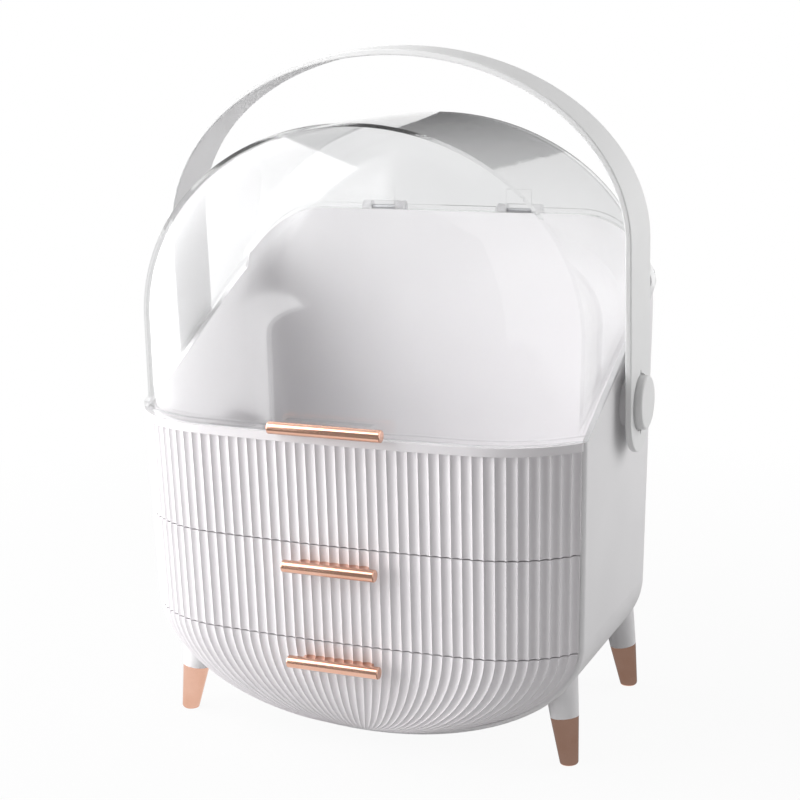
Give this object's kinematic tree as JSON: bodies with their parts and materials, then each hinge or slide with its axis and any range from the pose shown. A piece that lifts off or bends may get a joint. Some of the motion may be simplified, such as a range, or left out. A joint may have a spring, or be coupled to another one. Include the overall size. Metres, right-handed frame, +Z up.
{
  "type": "makeup organizer with drawer",
  "caption": "Free-standing makeup organizer: ribbed bowl-bottomed case with pull-out drawers, clear hinged dome lid, swinging carry handle and splayed legs with metallic tips.",
  "frame": {"origin": "on the ground under the middle of the whole object's box", "axes": "+X to the object's right seen from the front, +Y from the front to the back, +Z up"},
  "size_m": [0.3138, 0.2174, 0.4215],
  "materials": {
    "white_plastic": "satin",
    "clear_plastic": "clear, polished",
    "rose_gold": "polished rose-gold plating",
    "steel": "plain"
  },
  "bodies": {
    "case": {"outer_shell": "white_plastic", "upper_tray": "white_plastic", "middle_shelf": "white_plastic", "hinge_pin_left": "steel", "hinge_pin_right": "steel", "pivot_knob_left": "white_plastic", "pivot_knob_right": "white_plastic", "shelf_screws": "steel", "tray_screws": "steel", "foot_cap_front_left": "rose_gold", "foot_cap_front_right": "rose_gold", "foot_cap_back_left": "rose_gold", "foot_cap_back_right": "rose_gold"},
    "lid": {"lid": "clear_plastic", "lid_pull": "rose_gold"},
    "handle": {"carry_handle": "white_plastic"},
    "upper_drawer": {"upper_drawer": "white_plastic", "upper_drawer_pull": "rose_gold", "upper_pull_screws": "steel"},
    "lower_drawer": {"lower_drawer": "white_plastic", "lower_drawer_pull": "rose_gold", "lower_pull_screws": "steel"}
  },
  "joints": [
    {"name": "lid_hinge", "type": "hinge", "parent": "case", "child": "lid", "pos_m": [0, 0.10454, 0.3142], "axis": [-1, 0, 0], "range_deg": [0, 95]},
    {"name": "handle_swing", "type": "hinge", "parent": "case", "child": "handle", "pos_m": [0, 0.02074, 0.20998], "axis": [-1, 0, 0], "range_deg": [0, 100]},
    {"name": "upper_drawer_slide", "type": "slide", "parent": "case", "child": "upper_drawer", "axis": [0, -1, 0], "range_m": [0, 0.12]},
    {"name": "lower_drawer_slide", "type": "slide", "parent": "case", "child": "lower_drawer", "axis": [0, -1, 0], "range_m": [0, 0.12]}
  ],
  "couplings": [
    {"joint": "handle_swing", "follows": "lid_hinge", "ratio": 1.05}
  ]
}
